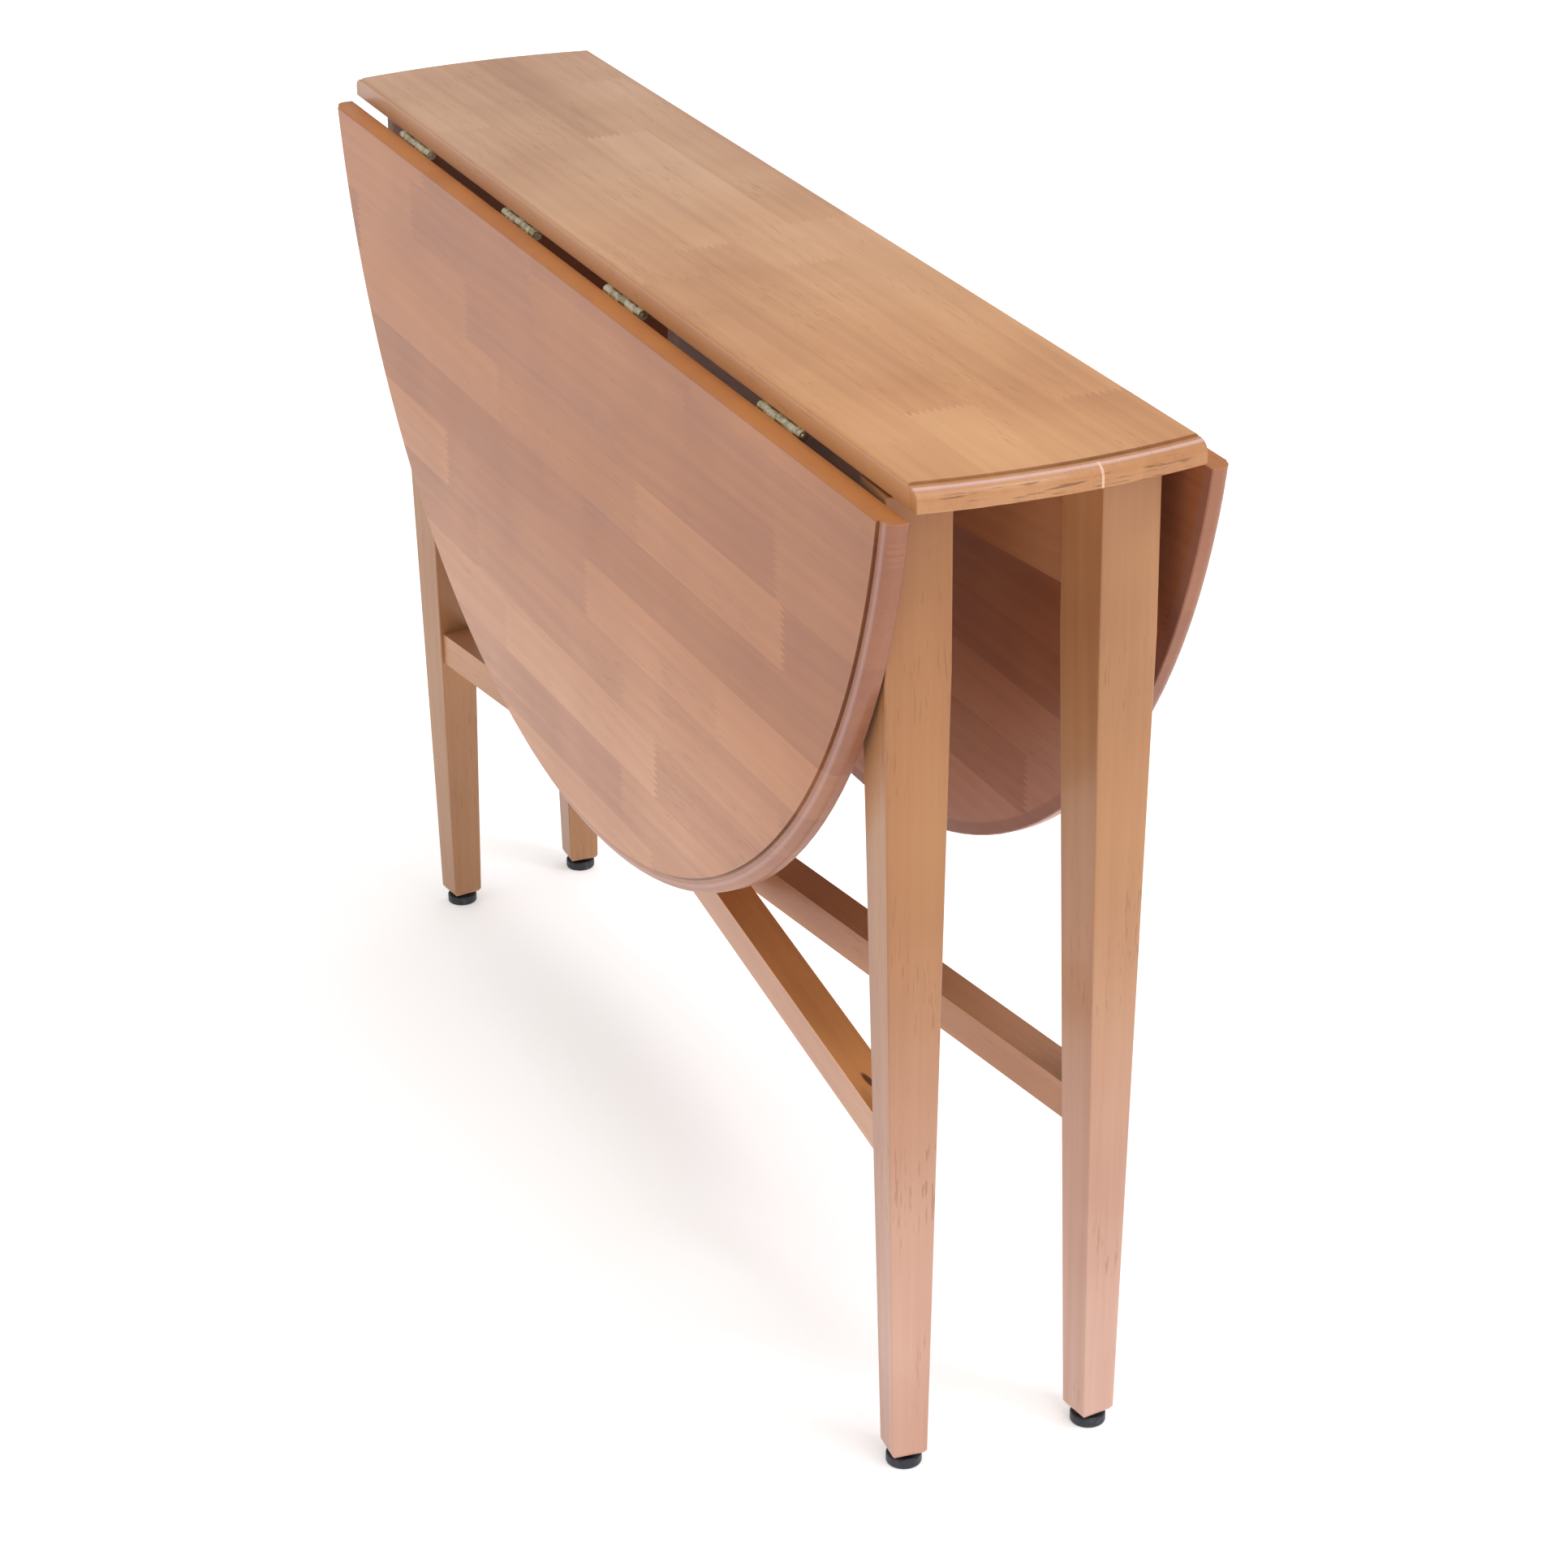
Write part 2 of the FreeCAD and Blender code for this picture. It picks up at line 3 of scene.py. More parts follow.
import bpy
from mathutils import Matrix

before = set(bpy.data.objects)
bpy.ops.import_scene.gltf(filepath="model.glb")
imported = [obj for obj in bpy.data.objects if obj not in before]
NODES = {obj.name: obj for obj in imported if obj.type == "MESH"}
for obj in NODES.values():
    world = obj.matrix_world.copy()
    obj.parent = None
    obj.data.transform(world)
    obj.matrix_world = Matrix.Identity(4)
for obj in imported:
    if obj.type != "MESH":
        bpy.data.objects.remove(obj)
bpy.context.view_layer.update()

# ------------------------------------------------------------- sizes in metres, angles in degrees
TABLE_HEIGHT = 0.740
BOARD_HALF = 0.100
HINGE_Z = 0.7191
HINGE_Y = 0.1002
HINGE_EDGE_Z = 0.7188
TOP_RADIUS = 0.533
MOULDING_INSET = 0.012
TOP_THICKNESS = 0.017
STRETCHER_TOP = 0.265
FIXED_ANGLE = 7.2
NEAR_GATE_ANGLE = -5.75
FAR_GATE_ANGLE = 176.7
FINGER_PITCH = 0.0052
FINGER_LENGTH = 0.0085
SEAM_HALF_WIDTH = 0.0007
END_SEAM_HALF_WIDTH = 0.0006
# The show face's skin, measured down from the face: from nothing at the first depth to all of it
# at the second.
SKIN_START = 0.0045
SKIN_FULL = 0.0035
# Rings of colour round the top, as distances outwards from the step where the moulding begins:
# the moulding's colour, a line of painted shade in the step and a painted highlight on the crest;
# each starts or ends gradually between its two distances.
QUIRK_SHADE_STARTS = (-0.0006, 0.0001)
QUIRK_SHADE_ENDS = (0.0012, 0.0024)
MOULDING_STARTS = (0.0010, 0.0030)
SHEEN_STARTS = (0.0038, 0.0054)
SHEEN_ENDS = (0.0062, 0.0082)
# A small dark split on the near stretcher's top: its middle and its half sizes along X and Y.
SPLIT_MIDDLE = (0.400, -0.0735)
SPLIT_HALF = (0.015, 0.0030)
# The pale glue joint in the front moulding: its middle, and where it starts to show and is full.
PALE_JOINT_Y = 0.022
PALE_JOINT_STARTS_X = (0.5240, 0.5255)
# The checks in the board's end grain: where they start to show and are full, in distance from the
# table's middle and below its top.
CHECKS_START_X = (0.5245, 0.5275)
CHECKS_START_DEPTH = (0.0045, 0.0065)

# ------------------------------------------------------------- other fixed numbers
STAVE_RANDOMNESS = 0.55
GLAZE_SPECULAR = 0.25
GLAZE_ROUGHNESS = 0.16
LENS = 91.6
CAMERA_LOCATION = (2.53531, -1.08033, 1.59526)
CAMERA_DEGREES = (64.8616, 0.5772, 65.8337)


X = (1.0, 0.0, 0.0)
Y = (0.0, 1.0, 0.0)
Z = (0.0, 0.0, 1.0)


def linear(red, green, blue):
    """An sRGB colour, 0 to 255, as the linear colour a shader takes."""
    channels = []
    for value in (red, green, blue):
        value = value / 255
        low = value / 12.92
        high = ((value + 0.055) / 1.055) ** 2.4
        channels.append(low if value <= 0.04045 else high)
    return (*channels, 1.0)


# ------------------------------------------------------------- shader building
class Tree:
    """Short ways to add nodes to one material."""

    def __init__(self, name):
        self.material = bpy.data.materials.new(name)
        self.material.use_nodes = True
        self.tree = self.material.node_tree
        self.tree.nodes.clear()
        self.shader = self.add("ShaderNodeBsdfPrincipled")
        output = self.add("ShaderNodeOutputMaterial")
        self.tree.links.new(self.shader.outputs[0], output.inputs["Surface"])

    def add(self, kind, **settings):
        node = self.tree.nodes.new(kind)
        for key, value in settings.items():
            setattr(node, key, value)
        return node

    def put(self, socket, value):
        if isinstance(value, bpy.types.NodeSocket):
            self.tree.links.new(value, socket)
        else:
            socket.default_value = value

    def math(self, operation, first, second=0.0, third=0.0):
        node = self.add("ShaderNodeMath", operation=operation)
        for socket, value in zip(node.inputs, (first, second, third)):
            self.put(socket, value)
        return node.outputs[0]

    def dot(self, vector, constant):
        node = self.add("ShaderNodeVectorMath", operation="DOT_PRODUCT")
        self.put(node.inputs[0], vector)
        self.put(node.inputs[1], constant)
        return node.outputs["Value"]

    def combine(self, x, y, z):
        node = self.add("ShaderNodeCombineXYZ")
        for socket, value in zip(node.inputs, (x, y, z)):
            self.put(socket, value)
        return node.outputs[0]

    def stretch(self, vector, scale, shift=(0, 0, 0)):
        node = self.add("ShaderNodeVectorMath", operation="MULTIPLY_ADD")
        self.put(node.inputs[0], vector)
        self.put(node.inputs[1], scale)
        self.put(node.inputs[2], shift)
        return node.outputs[0]

    def noise(self, vector, detail=2.0, roughness=0.5, distortion=0.0):
        node = self.add("ShaderNodeTexNoise")
        self.put(node.inputs["Vector"], vector)
        self.put(node.inputs["Scale"], 1.0)
        self.put(node.inputs["Detail"], detail)
        self.put(node.inputs["Roughness"], roughness)
        self.put(node.inputs["Distortion"], distortion)
        return node.outputs["Fac"]

    def random(self, vector):
        node = self.add("ShaderNodeTexWhiteNoise", noise_dimensions="3D")
        self.put(node.inputs["Vector"], vector)
        return node.outputs["Color"], node.outputs["Value"]

    def cells_along(self, value, feature):
        """Cells of uneven length along a line."""
        node = self.add("ShaderNodeTexVoronoi", voronoi_dimensions="1D", feature=feature)
        self.put(node.inputs["W"], value)
        self.put(node.inputs["Scale"], 1.0)
        self.put(node.inputs["Randomness"], STAVE_RANDOMNESS)
        return node

    def smooth(self, value, low, high, at_low=0.0, at_high=1.0):
        node = self.add("ShaderNodeMapRange", interpolation_type="SMOOTHSTEP")
        for socket, number in zip(node.inputs, (value, low, high, at_low, at_high)):
            self.put(socket, number)
        return node.outputs[0]

    def mix(self, factor, first, second, blend="MIX"):
        node = self.add("ShaderNodeMix", data_type="RGBA", blend_type=blend)
        self.put(node.inputs["Factor"], factor)
        self.put(node.inputs[6], first)
        self.put(node.inputs[7], second)
        return node.outputs[2]

    def position(self):
        return self.add("ShaderNodeTexCoord").outputs["Object"]

    def bump(self, height, distance, strength=1.0):
        node = self.add("ShaderNodeBump")
        node.inputs["Strength"].default_value = strength
        node.inputs["Distance"].default_value = distance
        self.put(node.inputs["Height"], height)
        self.put(self.shader.inputs["Normal"], node.outputs[0])

    def paint(self, mask, colour, other, amount=1.0):
        """colour over other where mask is 1, by at most amount."""
        return self.mix(self.math("MULTIPLY", mask, amount), other, colour)

    def tinted(self, colour, tint):
        return self.mix(1.0, colour, tint, blend="MULTIPLY")


# ------------------------------------------------------------- wood
def staves(t, u, v, seed, width, length):
    """Rows of staves joined end to end with fingers. Returns a random value for each stave, the
    lines drawn on it (at its ends, and fainter along the middle of its row), the grain's own
    place across it, which leans a little, and a shift that gives each stave its own grain."""
    row = t.math("FLOOR", t.math("DIVIDE", v, width))
    row = t.math("ADD", row, seed * 13.0)
    row_random = t.random(t.combine(row, seed, 1.7))[1]
    saw = t.math("PINGPONG", v, FINGER_PITCH / 2)
    jag = t.math("MULTIPLY", saw, 2 * FINGER_LENGTH / FINGER_PITCH)
    run = t.math("DIVIDE", t.math("ADD", u, jag), length)
    run = t.math("MULTIPLY_ADD", row_random, 41.0, run)
    cells = t.cells_along(run, "F1")
    ends = t.cells_along(run, "DISTANCE_TO_EDGE")
    end_distance = t.math("MULTIPLY", ends.outputs["Distance"], length)
    cell_vector = t.add("ShaderNodeVectorMath", operation="ADD")
    t.put(cell_vector.inputs[0], cells.outputs["Color"])
    t.put(cell_vector.inputs[1], t.combine(row, 0.0, seed))
    cell_colour, cell_value = t.random(cell_vector.outputs[0])
    to_middle = t.math("SUBTRACT", width / 2, t.math("PINGPONG", v, width / 2))
    row_line = t.smooth(to_middle, 0.0, SEAM_HALF_WIDTH, 1.0, 0.0)
    end_line = t.smooth(end_distance, 0.0, END_SEAM_HALF_WIDTH, 1.0, 0.0)
    seam = t.math("MAXIMUM", t.math("MULTIPLY", row_line, 0.35), end_line)
    lean = t.math("MULTIPLY_ADD", cell_value, 0.05, -0.025)
    v_grain = t.math("MULTIPLY_ADD", lean, u, v)
    shift = t.stretch(cell_colour, (7.0, 3.0, 3.0))
    return cell_value, seam, v_grain, shift


def grain_noise(t, grain, shift, scale, detail=2.0, roughness=0.5, distortion=0.0):
    """Noise in the grain's own directions. scale is how fine it is along, across and through."""
    return t.noise(t.stretch(grain, scale, shift), detail, roughness, distortion)


def open_pores(t, grain, shift):
    """1 in the short dark flecks, which come in patches."""
    spots = grain_noise(t, grain, shift, (45.0, 520.0, 520.0), 1.0)
    patches = grain_noise(t, grain, shift, (9.0, 22.0, 22.0), 1.0)
    return t.math("MULTIPLY", t.smooth(spots, 0.60, 0.70), t.smooth(patches, 0.42, 0.62))


def growth_rings(t, grain, shift, v_grain):
    """Fine waves across the grain that wander along it, from -1 to 1."""
    wander = grain_noise(t, grain, shift, (2.6, 8.0, 8.0), 1.0)
    waves = t.math("MULTIPLY_ADD", v_grain, 420.0, t.math("MULTIPLY", wander, 14.0))
    return t.math("SINE", waves)


def small_knots(t, grain, shift):
    """1 in the middle of the few small knots."""
    eyes = t.add("ShaderNodeTexVoronoi", voronoi_dimensions="3D", feature="F1")
    t.put(eyes.inputs["Vector"], t.stretch(grain, (3.4, 8.5, 8.5), shift))
    eyes.inputs["Scale"].default_value = 1.0
    chosen = t.smooth(t.dot(eyes.outputs["Color"], X), 0.80, 0.82)
    knot = t.smooth(eyes.outputs["Distance"], 0.015, 0.085, 1.0, 0.0)
    return t.math("MULTIPLY", knot, chosen)


def colour_of_tone(t, tone, tones):
    """The wood's colour where tone runs from 0, dark, to 1, light."""
    light, middle, dark = tones
    ramp = t.add("ShaderNodeValToRGB")
    ramp.color_ramp.elements[0].position = 0.12
    ramp.color_ramp.elements[0].color = dark
    ramp.color_ramp.elements[1].position = 0.88
    ramp.color_ramp.elements[1].color = light
    centre = ramp.color_ramp.elements.new(0.5)
    centre.color = middle
    t.put(ramp.inputs[0], tone)
    return ramp.outputs[0]


def wood(name, along, across, depth, tones, seed, stave=None, zones=(),
         stave_contrast=0.5, coat=0.3, pore_amount=0.26):
    """Lacquered hardwood. along, across and depth are the piece's own directions in the row frame.
    stave is the width and usual length of the glued staves, or None for one solid piece.
    zones are functions (tree, position, colour) that change the colour in one place."""
    t = Tree(name)
    position = t.position()
    u = t.dot(position, along)
    v = t.dot(position, across)
    w = t.dot(position, depth)

    if stave:
        cell_value, seam, v_grain, shift = staves(t, u, v, seed, *stave)
    else:
        cell_value, seam, v_grain = 0.5, None, v
        shift = (seed * 1.37, seed * 0.71, seed * 2.13)
    grain = t.combine(u, v_grain, w)

    bands = grain_noise(t, grain, shift, (1.2, 26.0, 26.0), 3.0, 0.5, 0.3)
    fibres = grain_noise(t, grain, shift, (4.0, 190.0, 190.0))
    figure = grain_noise(t, grain, shift, (11.0, 7.0, 7.0), 1.0, 0.4, 0.8)
    cloud = t.noise(t.stretch(position, (5.5, 5.5, 5.5), (seed, 0.3, 0.9)))
    pores = open_pores(t, grain, shift)

    tone = t.math("MULTIPLY_ADD", t.math("SUBTRACT", cell_value, 0.5), stave_contrast, 0.5)
    for pattern, weight in ((bands, 0.48), (fibres, 0.22), (figure, 0.14), (cloud, 0.62)):
        tone = t.math("MULTIPLY_ADD", t.math("SUBTRACT", pattern, 0.5), weight, tone)
    tone = t.math("MULTIPLY_ADD", growth_rings(t, grain, shift, v_grain), 0.025, tone)

    colour = colour_of_tone(t, tone, tones)
    for zone in zones:
        colour = zone(t, position, colour)
    colour = t.paint(small_knots(t, grain, shift), BROWN, colour, 0.55)
    colour = t.paint(pores, BROWN, colour, pore_amount)
    if seam:
        colour = t.paint(seam, BROWN, colour, 0.26)
    t.put(t.shader.inputs["Base Color"], colour)

    roughness = t.math("MULTIPLY_ADD", t.math("SUBTRACT", bands, 0.5), 0.12, 0.40)
    t.put(t.shader.inputs["Roughness"], roughness)
    t.shader.inputs["Specular IOR Level"].default_value = GLAZE_SPECULAR
    t.shader.inputs["Coat Weight"].default_value = coat
    t.shader.inputs["Coat Roughness"].default_value = GLAZE_ROUGHNESS
    relief = t.math("MULTIPLY_ADD", pores, -0.5, t.math("MULTIPLY", fibres, 0.2))
    t.bump(relief, 0.0001, 0.4)
    return t.material


def level(angle):
    """The direction at that angle from +X in the level plane, in degrees."""
    turn = math.radians(angle)
    return (math.cos(turn), math.sin(turn), 0.0)


TAN = (linear(224, 178, 132), linear(205, 155, 109), linear(178, 124, 82))
# The leaves' tones are made pinker than the board's: painted light, the pinkish cast of the light
# on the leaves' faces.
LEAF = (linear(222, 174, 146), linear(200, 150, 121), linear(172, 120, 95))
LEG = (linear(224, 178, 130), linear(206, 156, 110), linear(180, 126, 84))
DOWEL = (linear(226, 190, 140), linear(210, 172, 122), linear(184, 146, 98))
ORANGE = linear(184, 118, 61)
# QUIRK_SHADE is painted shade: the dark line in the step round the top's moulding.
QUIRK_SHADE = linear(96, 56, 38)
BROWN = linear(138, 88, 54)
BOARD_MOULDING = linear(172, 120, 82)
LEAF_MOULDING = linear(146, 104, 92)
PALE = linear(240, 208, 180)
SPLIT = linear(58, 34, 22)
# PAINTED_SHEEN is a painted highlight: the pale lilac light caught along the moulding's crest.
PAINTED_SHEEN = linear(238, 208, 214)


def rim_groove(open_across, show_side, moulding, painted_sheen_amount):
    """A dark line of painted shade in the step between the flat top and the moulding, and the
    moulding's own colour with a painted highlight on its crest.
    open_across gives the distance from the table's long middle line with the leaf up, and
    show_side is 1 near the face that is on top with the leaf up."""
    def zone(t, position, colour):
        y = open_across(t, position)
        x = t.dot(position, X)
        squares = t.math("ADD", t.math("MULTIPLY", x, x), t.math("MULTIPLY", y, y))
        radius = t.math("SQRT", squares)
        step = TOP_RADIUS - MOULDING_INSET

        def ring(band, at_start=0.0, at_end=1.0):
            return t.smooth(radius, step + band[0], step + band[1], at_start, at_end)

        colour = t.paint(ring(MOULDING_STARTS), moulding, colour, 0.52)
        shown = show_side(t, position)
        # A painted highlight along the moulding's crest, on the show side only.
        rise = ring(SHEEN_STARTS)
        fall = ring(SHEEN_ENDS, 1.0, 0.0)
        sheen = t.math("MULTIPLY", t.math("MULTIPLY", rise, fall), shown)
        colour = t.paint(sheen, PAINTED_SHEEN, colour, painted_sheen_amount)
        # A patchy line of painted shade in the step, on the show side only.
        shade_patchiness = t.noise(t.stretch(position, (9.0, 9.0, 9.0)), 2.0)
        inner = ring(QUIRK_SHADE_STARTS)
        outer = ring(QUIRK_SHADE_ENDS, 1.0, 0.0)
        line = t.math("MULTIPLY", t.math("MULTIPLY", inner, outer), shown)
        line = t.math("MULTIPLY", line, t.smooth(shade_patchiness, 0.30, 0.62, 0.45, 0.95))
        return t.paint(line, QUIRK_SHADE, colour, 0.80)
    return zone


def leaf_open_across(t, position):
    height = t.dot(position, Z)
    return t.math("SUBTRACT", HINGE_Y + HINGE_Z, height)


def board_open_across(t, position):
    return t.dot(position, Y)


def leaf_show_side(t, position):
    side = t.math("ABSOLUTE", t.dot(position, Y))
    outer_face = HINGE_Y + TABLE_HEIGHT - HINGE_Z
    return t.smooth(side, outer_face - SKIN_START, outer_face - SKIN_FULL)


def board_show_side(t, position):
    height = t.dot(position, Z)
    return t.smooth(height, TABLE_HEIGHT - SKIN_START, TABLE_HEIGHT - SKIN_FULL)


def hinge_edge_light_tint(t, position, colour):
    """The leaf's straight edge is painted a deeper orange in patches: painted light, as the faces
    beside it are paler where they catch the light's pale sheen and the edge does not.
    """
    height = t.dot(position, Z)
    mask = t.smooth(height, HINGE_EDGE_Z - 0.0011, HINGE_EDGE_Z - 0.0005)
    patches = t.noise(t.stretch(position, (16.0, 16.0, 16.0)), 3.0)
    amount = t.smooth(patches, 0.38, 0.62, 0.50, 0.86)
    return t.mix(t.math("MULTIPLY", mask, amount), colour, ORANGE)


def leaf_underside_shade(t, position, colour):
    """The face that is underneath with the leaf up is painted darker and browner than the show
    face: painted shade on the hanging leaf's inner face.
    """
    side = t.math("ABSOLUTE", t.dot(position, Y))
    inner_face = HINGE_Y + TABLE_HEIGHT - HINGE_Z - TOP_THICKNESS
    mask = t.smooth(side, inner_face + 0.0005, inner_face + 0.0015)
    tint = t.mix(mask, (0.84, 0.78, 0.90, 1.0), (1.0, 1.0, 1.0, 1.0))
    return t.tinted(colour, tint)


def board_side_light_tint(t, position, colour):
    """The board's long sides are painted a deeper orange than its top: painted light, as the top
    is paler where it catches the light's pale sheen and the sides do not.
    """
    side = t.math("ABSOLUTE", t.dot(position, Y))
    mask = t.smooth(side, BOARD_HALF - 0.0012, BOARD_HALF - 0.0002)
    return t.mix(t.math("MULTIPLY", mask, 0.45), colour, ORANGE)


def pale_joint(t, position, colour):
    """A pale glue joint crosses the moulding at the board's front end."""
    side = t.math("ABSOLUTE", t.math("SUBTRACT", t.dot(position, Y), PALE_JOINT_Y))
    across = t.smooth(side, 0.0006, 0.0012, 1.0, 0.0)
    front = t.smooth(t.dot(position, X), *PALE_JOINT_STARTS_X)
    return t.paint(t.math("MULTIPLY", across, front), PALE, colour, 0.70)


def rim_checks(t, position, colour):
    """Fine dark checks show in the end grain at the board's two curved rims."""
    end = t.smooth(t.math("ABSOLUTE", t.dot(position, X)), *CHECKS_START_X)
    start_depth, full_depth = CHECKS_START_DEPTH
    low = t.smooth(t.dot(position, Z), TABLE_HEIGHT - full_depth, TABLE_HEIGHT - start_depth,
                   1.0, 0.0)
    lines = t.noise(t.stretch(position, (20.0, 32.0, 420.0)), 2.0, 0.6)
    checks = t.math("MULTIPLY", t.smooth(lines, 0.55, 0.66), t.math("MULTIPLY", end, low))
    return t.paint(checks, SPLIT, colour, 0.55)


def graded(direction, start, end, at_start, at_end):
    """Multiplies the colour by one tint at start and another at end, measured along direction,
    blending smoothly between them."""
    def zone(t, position, colour):
        place = t.smooth(t.dot(position, direction), start, end)
        tint = t.mix(place, (*at_start, 1.0), (*at_end, 1.0))
        return t.tinted(colour, tint)
    return zone


def lit_top_and_split(t, position, colour):
    """The near stretcher's upper face is painted brighter and more orange, and its sides a little
    darker: painted light and shade. A dark split near the leg is drawn on the upper face."""
    height = t.dot(position, Z)
    mask = t.smooth(height, STRETCHER_TOP - 0.0012, STRETCHER_TOP - 0.0004)
    # Painted light on the upper face and painted shade on the sides.
    tint = t.mix(mask, (0.95, 0.86, 1.02, 1.0), (1.32, 1.10, 0.84, 1.0))
    colour = t.tinted(colour, tint)
    along = t.math("SUBTRACT", t.dot(position, X), SPLIT_MIDDLE[0])
    along = t.math("DIVIDE", along, SPLIT_HALF[0])
    across = t.math("SUBTRACT", t.dot(position, Y), SPLIT_MIDDLE[1])
    across = t.math("DIVIDE", across, SPLIT_HALF[1])
    squares = t.math("ADD", t.math("MULTIPLY", along, along), t.math("MULTIPLY", across, across))
    split = t.math("MULTIPLY", t.smooth(squares, 0.3, 1.0, 1.0, 0.0), mask)
    return t.paint(split, SPLIT, colour, 0.85)


def darker_browner_bars(t, position, colour):
    """The bars between the legs are painted a little darker and browner than the legs."""
    return t.tinted(colour, (0.86, 0.76, 0.78, 1.0))


def assign(material, *names):
    for name in names:
        node = NODES[name]
        node.data.materials.clear()
        node.data.materials.append(material)


# The board is painted bluer and less red towards its far end and warmer towards its front end.
assign(wood("board_wood", X, Y, Z, TAN, 3.0, stave=(0.050, 0.42),
            stave_contrast=0.20,
            zones=[graded(X, -0.45, 0.50, (0.89, 0.96, 1.22), (1.05, 0.95, 0.84)),
                   rim_groove(board_open_across, board_show_side, BOARD_MOULDING, 0.50),
                   board_side_light_tint, rim_checks, pale_joint]),
       "centre_board")
# Each leaf is painted paler near its lower edge and much browner higher up: painted light and
# shade, the floor's bounce light below.
for side, seed in (("near", 5.0), ("far", 8.0)):
    assign(wood(side + "_leaf_wood", X, Z, Y, LEAF, seed, stave=(0.047, 0.27),
                stave_contrast=0.34, coat=0.12,
                zones=[graded(Z, 0.28, 0.56, (1.08, 1.05, 0.98), (0.74, 0.51, 0.27)),
                       leaf_underside_shade,
                       rim_groove(leaf_open_across, leaf_show_side, LEAF_MOULDING, 0.16),
                       hinge_edge_light_tint]),
           side + "_leaf")

# Painted light and shade on the legs: paler and bluer near the foot, where the floor's bounce
# light
# over: painted shade from the parts in front of them.
# reaches, and darker and browner higher up under the top. The two rear legs are painted darker all
LEG_BOUNCE_LIGHT_BELOW = 0.08
LEG_SHADE_ABOVE = 0.48
FRONT_LEG_LIGHT_AND_SHADE = graded(Z, LEG_BOUNCE_LIGHT_BELOW, LEG_SHADE_ABOVE, (0.99, 1.08, 1.74), (0.74, 0.65, 0.60))
GATE_LEG_LIGHT_AND_SHADE = graded(Z, LEG_BOUNCE_LIGHT_BELOW, LEG_SHADE_ABOVE, (0.98, 1.04, 1.62), (0.67, 0.55, 0.46))
REAR_LEG_SHADE = graded(Z, LEG_BOUNCE_LIGHT_BELOW, LEG_SHADE_ABOVE, (0.72, 0.68, 0.70), (0.68, 0.58, 0.50))
LEGS = {
    "front_right_leg": (FIXED_ANGLE, 1.0, FRONT_LEG_LIGHT_AND_SHADE),
    "rear_left_leg": (FIXED_ANGLE, 2.0, REAR_LEG_SHADE),
    "front_left_leg": (NEAR_GATE_ANGLE, 3.0, GATE_LEG_LIGHT_AND_SHADE),
    "rear_right_leg": (FAR_GATE_ANGLE, 4.0, REAR_LEG_SHADE),
}
for name, (angle, seed, grade) in LEGS.items():
    assign(wood(name + "_wood", Z, level(angle), level(angle + 90), LEG, seed,
                zones=[grade], pore_amount=0.36), name)

BARS = {
    "fixed_rail": (FIXED_ANGLE, 6.0),
    "fixed_stretcher": (FIXED_ANGLE, 7.0),
    "near_gate_rail": (NEAR_GATE_ANGLE, 9.0),
    "near_gate_stretcher": (NEAR_GATE_ANGLE, 10.0),
    "far_gate_rail": (FAR_GATE_ANGLE, 11.0),
    "far_gate_stretcher": (FAR_GATE_ANGLE, 12.0),
    "near_cleat": (FIXED_ANGLE, 13.0),
    "far_cleat": (FIXED_ANGLE, 14.0),
}
for name, (angle, seed) in BARS.items():
    zones = [lit_top_and_split] if name == "near_gate_stretcher" else [darker_browner_bars]
    assign(wood(name + "_wood", level(angle), Z, level(angle + 90), LEG, seed,
                zones=zones), name)

POSTS = {
    "gate_hinge_post": (FIXED_ANGLE, 15.0),
    "near_gate_stile": (NEAR_GATE_ANGLE, 16.0),
    "far_gate_stile": (FAR_GATE_ANGLE, 17.0),
}
for name, (angle, seed) in POSTS.items():
    assign(wood(name + "_wood", Z, level(angle), level(angle + 90), LEG, seed), name)

for index, name in enumerate(("fixed_frame_dowels", "near_gate_dowels", "far_gate_dowels")):
    assign(wood(name + "_wood", X, Y, Z, DOWEL, 20.0 + index), name)


# ------------------------------------------------------------- metal and plastic
def metal(name, base, other, roughness):
    """Metal with a mottled tarnish and fine scratches."""
    t = Tree(name)
    position = t.position()
    mottle = t.noise(t.stretch(position, (160.0, 160.0, 160.0)), 3.0, 0.6)
    scratches = t.noise(t.stretch(position, (300.0, 2400.0, 2400.0)), 2.0)
    mask = t.smooth(mottle, 0.38, 0.66)
    t.put(t.shader.inputs["Base Color"], t.mix(mask, base, other))
    t.shader.inputs["Metallic"].default_value = 1.0
    t.put(t.shader.inputs["Roughness"],
          t.math("MULTIPLY_ADD", scratches, 0.22, roughness))
    t.bump(scratches, 0.00004, 0.5)
    return t.material


def plastic(name, base, shade_patchiness):
    """Dark moulded plastic, a little dusty and scuffed."""
    t = Tree(name)
    position = t.position()
    dust = t.noise(t.stretch(position, (120.0, 120.0, 60.0)), 4.0, 0.6)
    grain = t.noise(t.stretch(position, (1800.0, 1800.0, 1800.0)), 1.0)
    t.put(t.shader.inputs["Base Color"], t.mix(t.smooth(dust, 0.45, 0.8), base, shade_patchiness))
    t.put(t.shader.inputs["Roughness"], t.math("MULTIPLY_ADD", dust, 0.25, 0.34))
    t.bump(grain, 0.00008, 0.5)
    return t.material


brass = metal("aged_brass", linear(240, 234, 208), linear(184, 176, 136), 0.24)
steel = metal("zinc_steel", linear(190, 190, 186), linear(150, 150, 148), 0.32)
glide = plastic("glide_plastic", linear(30, 33, 42), linear(66, 70, 82))
for name in NODES:
    if name.endswith("_glide"):
        assign(glide, name)
    elif "nail" in name or name == "cleat_screws":
        assign(steel, name)
    elif "hinge" in name and name != "gate_hinge_post":
        assign(brass, name)


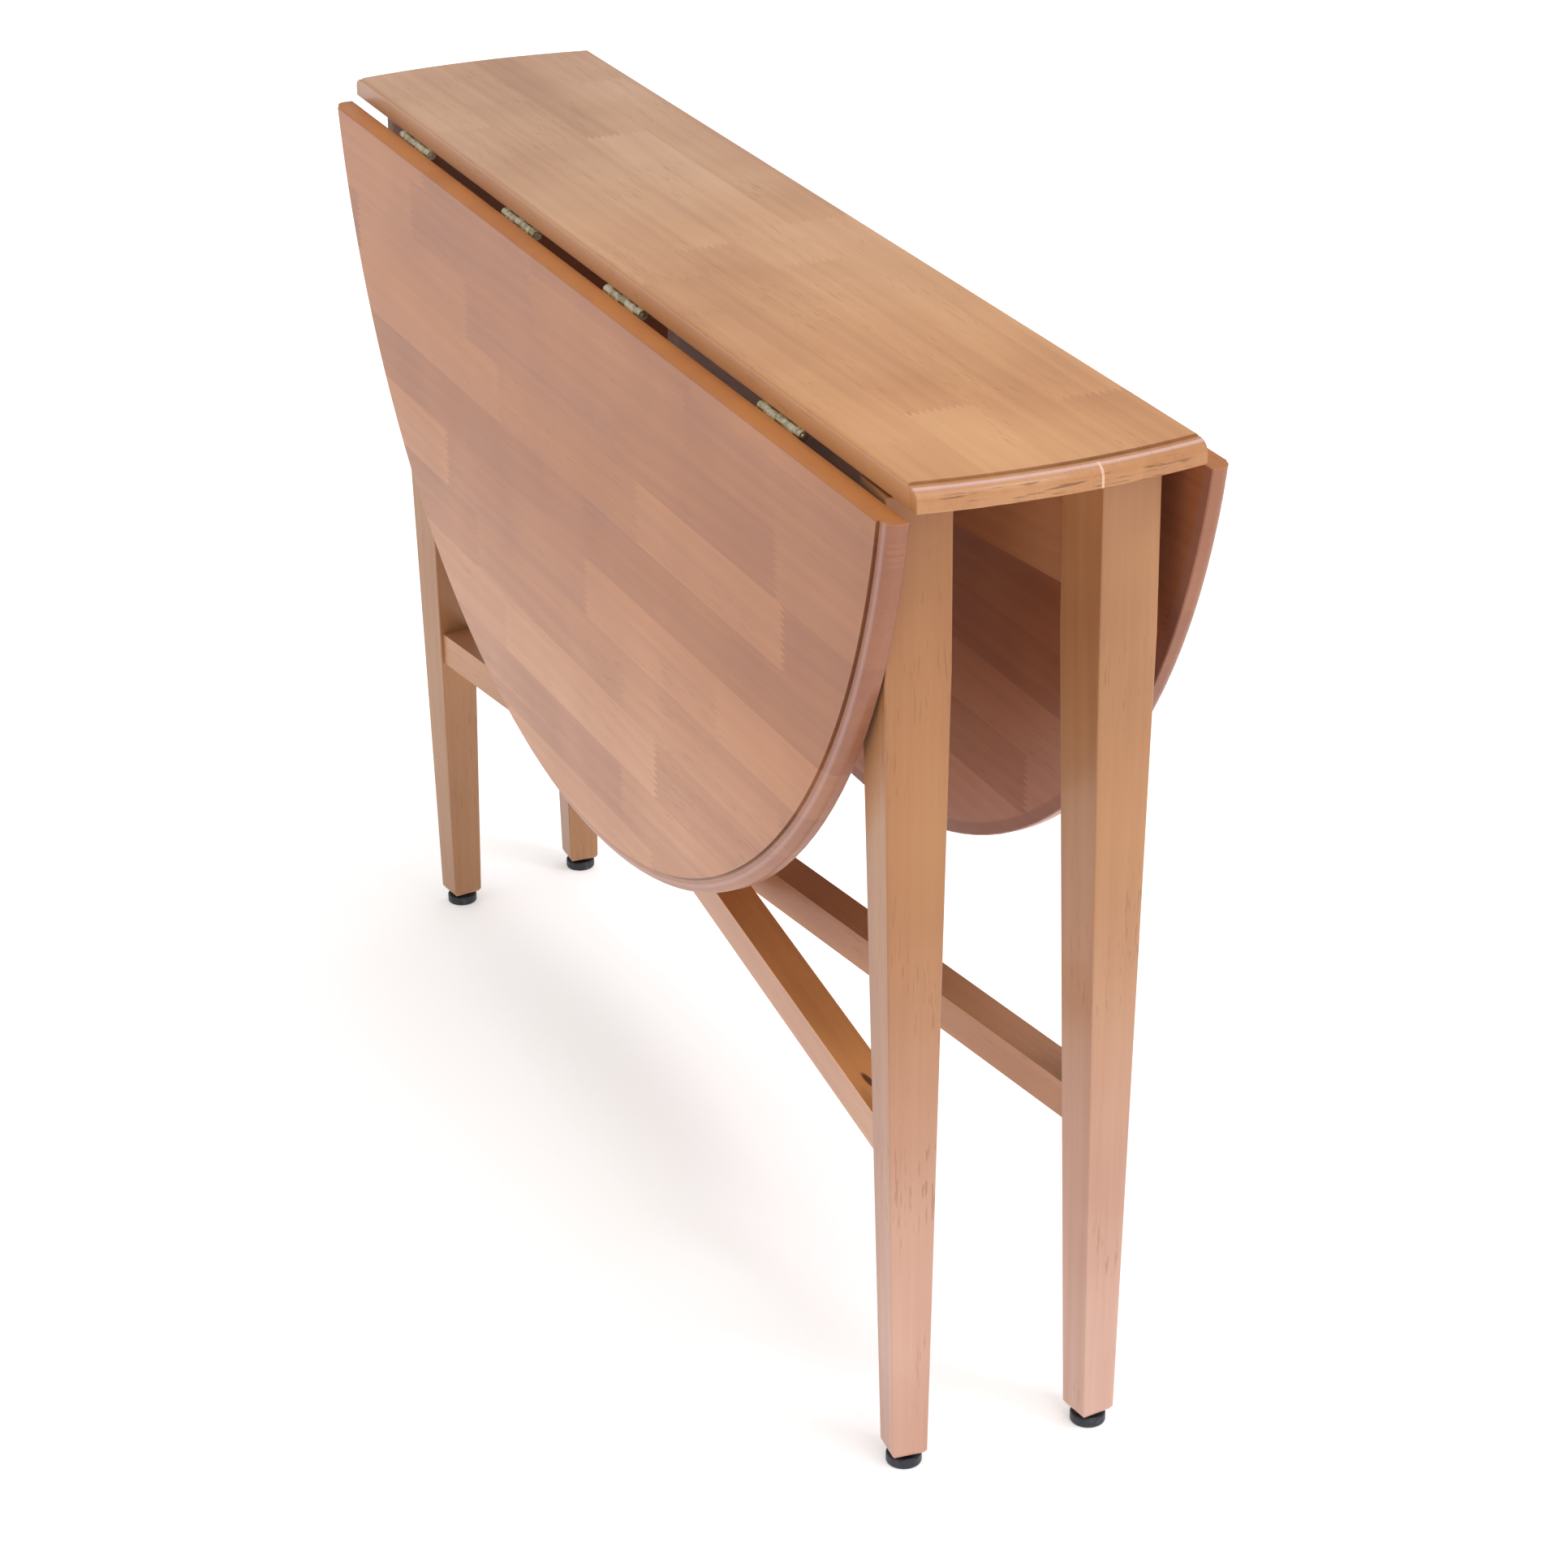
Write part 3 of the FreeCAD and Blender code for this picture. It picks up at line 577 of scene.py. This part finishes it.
# ------------------------------------------------------------- floor, light, camera
def floor_material():
    t = Tree("pale_floor")
    position = t.position()
    patch = t.noise(t.stretch(position, (2.0, 2.0, 2.0)), 2.0)
    t.put(t.shader.inputs["Base Color"],
          t.mix(patch, linear(250, 250, 250), linear(252, 252, 252)))
    t.shader.inputs["Roughness"].default_value = 0.9
    t.shader.inputs["Specular IOR Level"].default_value = 0.1
    t.shader.inputs["Emission Color"].default_value = (1.0, 1.0, 1.0, 1.0)
    t.shader.inputs["Emission Strength"].default_value = 0.34
    return t.material


bpy.ops.mesh.primitive_plane_add(size=60.0, location=(0, 0, 0))
floor = bpy.context.object
floor.name = "floor"
floor.data.materials.append(floor_material())

world = bpy.data.worlds.new("studio")
bpy.context.scene.world = world
world.use_nodes = True
background = world.node_tree.nodes["Background"]
background.inputs["Color"].default_value = (1.0, 1.0, 1.0, 1.0)
background.inputs["Strength"].default_value = 0.46


def soft_light(name, towards_light, strength, spread, colour):
    """A wide, even light from one direction. spread is its size in degrees."""
    light = bpy.data.lights.new(name, "SUN")
    light.energy = strength
    light.angle = math.radians(spread)
    light.color = colour
    lamp = bpy.data.objects.new(name, light)
    bpy.context.scene.collection.objects.link(lamp)
    x, y, z = towards_light
    lamp.rotation_euler = (math.atan2(math.hypot(x, y), z), 0.0, math.atan2(x, -y))


soft_light("top_light", (0.1, 0.1, 1.0), 1.05, 50.0, (1.0, 0.99, 0.97))
soft_light("left_light", (0.0, -0.85, 0.50), 0.17, 40.0, (1.0, 0.95, 0.98))
soft_light("front_light", (0.75, 0.18, 0.70), 0.78, 40.0, (1.0, 0.97, 0.98))
soft_light("window", (0.44, 0.36, 0.83), 0.30, 9.0, (0.93, 0.90, 1.0))

camera_data = bpy.data.cameras.new("camera")
camera_data.sensor_width = 36.0
camera_data.lens = LENS
camera_data.clip_end = 100.0
camera = bpy.data.objects.new("camera", camera_data)
bpy.context.scene.collection.objects.link(camera)
camera.location = CAMERA_LOCATION
camera.rotation_euler = [math.radians(angle) for angle in CAMERA_DEGREES]
bpy.context.scene.camera = camera
bpy.context.scene.view_settings.view_transform = "Standard"
